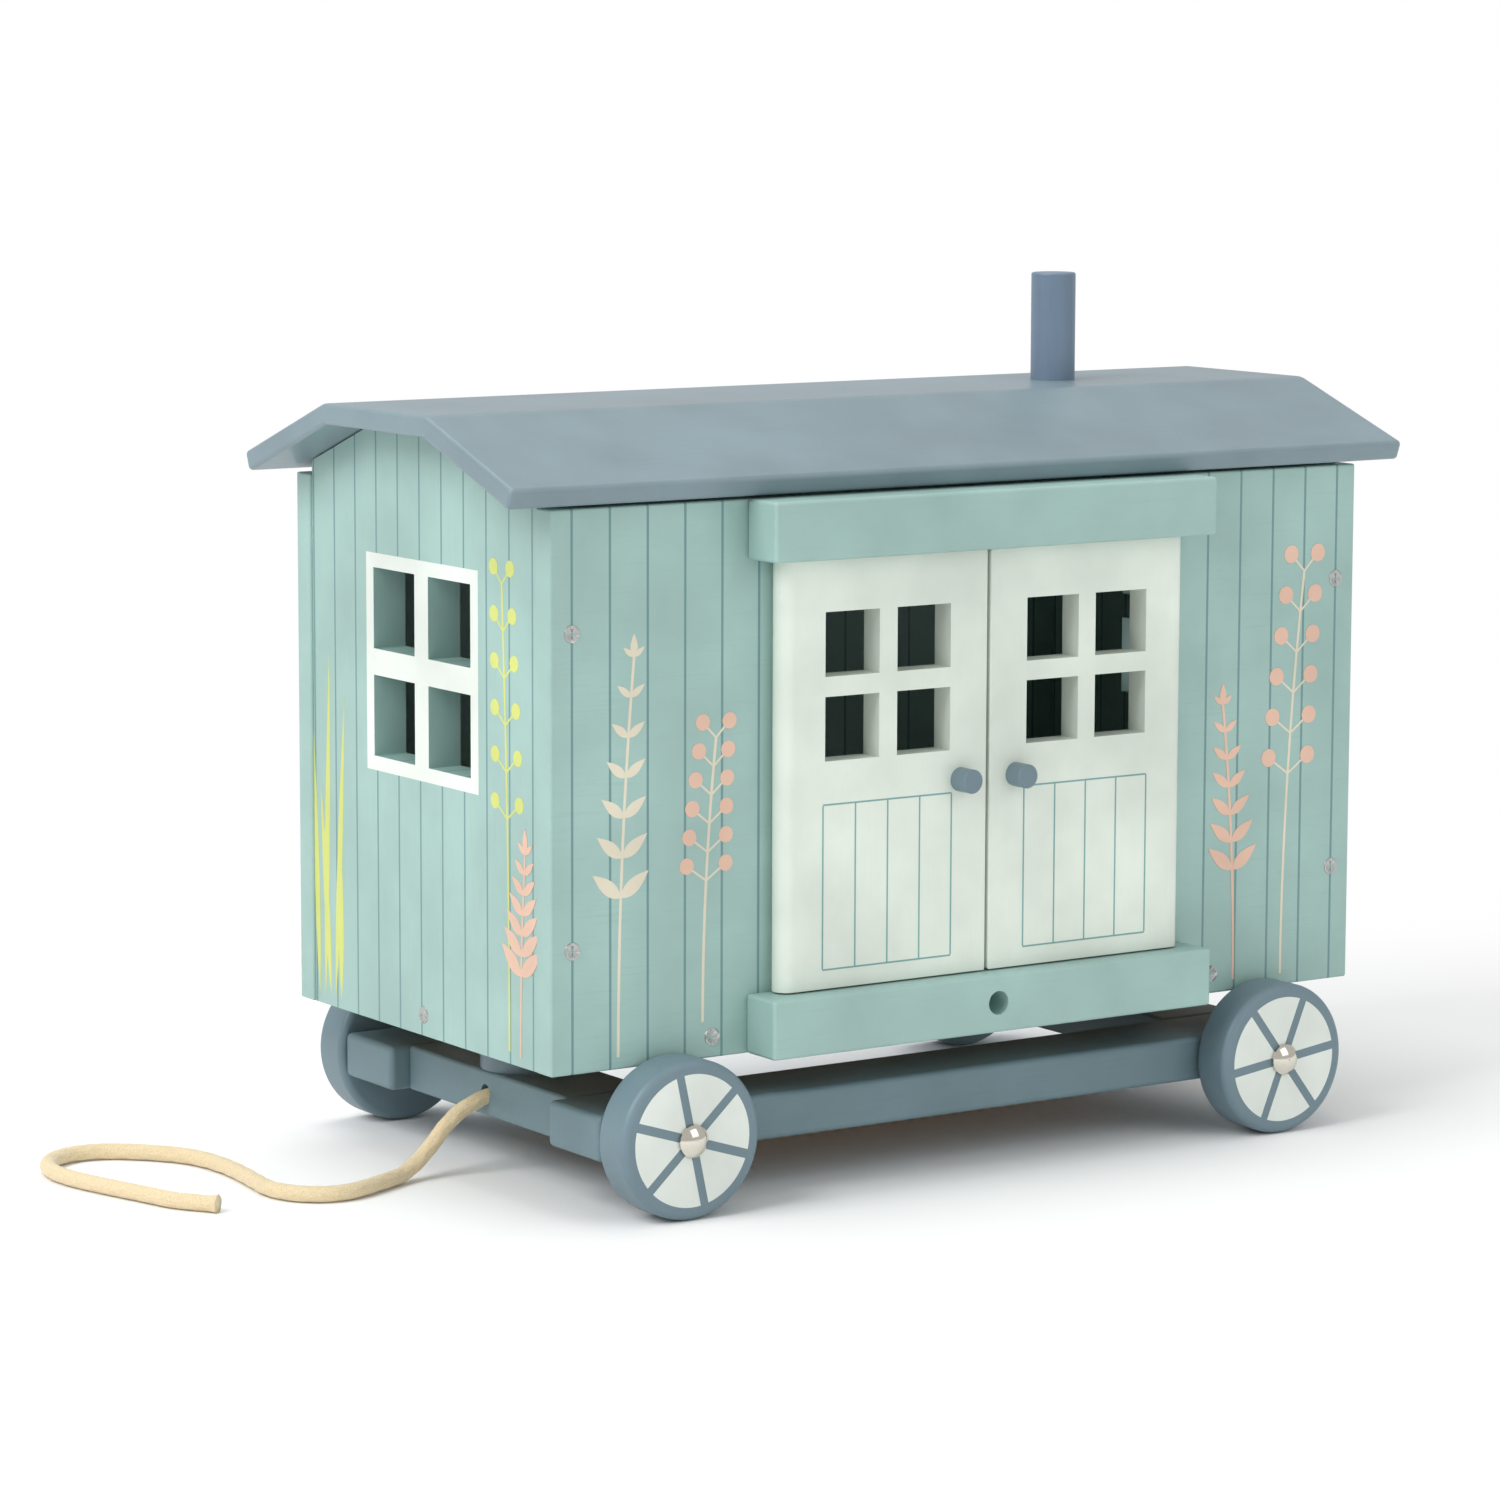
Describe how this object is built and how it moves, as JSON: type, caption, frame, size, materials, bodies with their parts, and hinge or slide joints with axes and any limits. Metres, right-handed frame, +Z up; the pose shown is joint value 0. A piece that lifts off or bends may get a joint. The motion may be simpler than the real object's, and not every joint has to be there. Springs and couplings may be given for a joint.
{
  "type": "toy shepherd hut",
  "caption": "Wooden pull-along toy shepherd hut with hinged double doors, lift-off roof with a dowel chimney, turning disc wheels and a cotton pull cord.",
  "frame": {"origin": "on the floor under the middle of the hut", "axes": "+X towards the pull cord, +Y towards the door side, +Z up"},
  "size_m": [0.4483, 0.2054, 0.2923],
  "materials": {
    "teal": "satin paint",
    "inside_wood": "bare ply",
    "door_white": "satin paint",
    "pin_wood": "bare dowel",
    "roof_blue": "satin paint",
    "chassis_blue": "satin paint",
    "wheel_blue": "satin paint",
    "steel": "drawn",
    "nickel": "bright nickel",
    "cord": "braided cotton"
  },
  "bodies": {
    "hut": {"front_end_wall": "teal", "rear_end_wall": "teal", "plain_side_wall": "teal", "door_side_wall": "teal", "floor_board": "inside_wood", "door_sill": "teal", "door_header": "teal", "left_rail": "chassis_blue", "right_rail": "chassis_blue", "front_cross_board": "chassis_blue", "rear_cross_board": "chassis_blue", "front_spacer": "teal", "rear_spacer": "teal", "front_axle": "steel", "rear_axle": "steel", "front_left_axle_cap": "nickel", "front_right_axle_cap": "nickel", "rear_left_axle_cap": "nickel", "rear_right_axle_cap": "nickel", "pull_cord": "cord"},
    "roof": {"roof_top_board": "roof_blue", "roof_door_side_board": "roof_blue", "roof_plain_side_board": "roof_blue", "chimney": "roof_blue"},
    "front_door": {"front_door": "door_white", "front_door_foot_pin": "pin_wood", "front_door_head_pin": "pin_wood", "front_door_knob": "chassis_blue"},
    "rear_door": {"rear_door": "door_white", "rear_door_foot_pin": "pin_wood", "rear_door_head_pin": "pin_wood", "rear_door_knob": "chassis_blue"},
    "front_left_wheel": {"front_left_wheel": "wheel_blue"},
    "front_right_wheel": {"front_right_wheel": "wheel_blue"},
    "rear_left_wheel": {"rear_left_wheel": "wheel_blue"},
    "rear_right_wheel": {"rear_right_wheel": "wheel_blue"}
  },
  "joints": [
    {"name": "roof_lift", "type": "slide", "parent": "hut", "child": "roof", "axis": [0, 0, 1], "range_m": [0, 0.08]},
    {"name": "front_door_hinge", "type": "hinge", "parent": "hut", "child": "front_door", "pos_m": [0.0771, 0.0868, 0.138], "axis": [0, 0, -1], "range_deg": [0, 150]},
    {"name": "rear_door_hinge", "type": "hinge", "parent": "hut", "child": "rear_door", "pos_m": [-0.0771, 0.0868, 0.138], "axis": [0, 0, 1], "range_deg": [0, 150]},
    {"name": "front_left_wheel_spin", "type": "hinge", "parent": "hut", "child": "front_left_wheel", "pos_m": [0.121, 0.0915, 0.026], "axis": [0, 1, 0], "continuous": true},
    {"name": "front_right_wheel_spin", "type": "hinge", "parent": "hut", "child": "front_right_wheel", "pos_m": [0.121, -0.0915, 0.026], "axis": [0, 1, 0], "continuous": true},
    {"name": "rear_left_wheel_spin", "type": "hinge", "parent": "hut", "child": "rear_left_wheel", "pos_m": [-0.121, 0.0915, 0.026], "axis": [0, 1, 0], "continuous": true},
    {"name": "rear_right_wheel_spin", "type": "hinge", "parent": "hut", "child": "rear_right_wheel", "pos_m": [-0.121, -0.0915, 0.026], "axis": [0, 1, 0], "continuous": true}
  ]
}
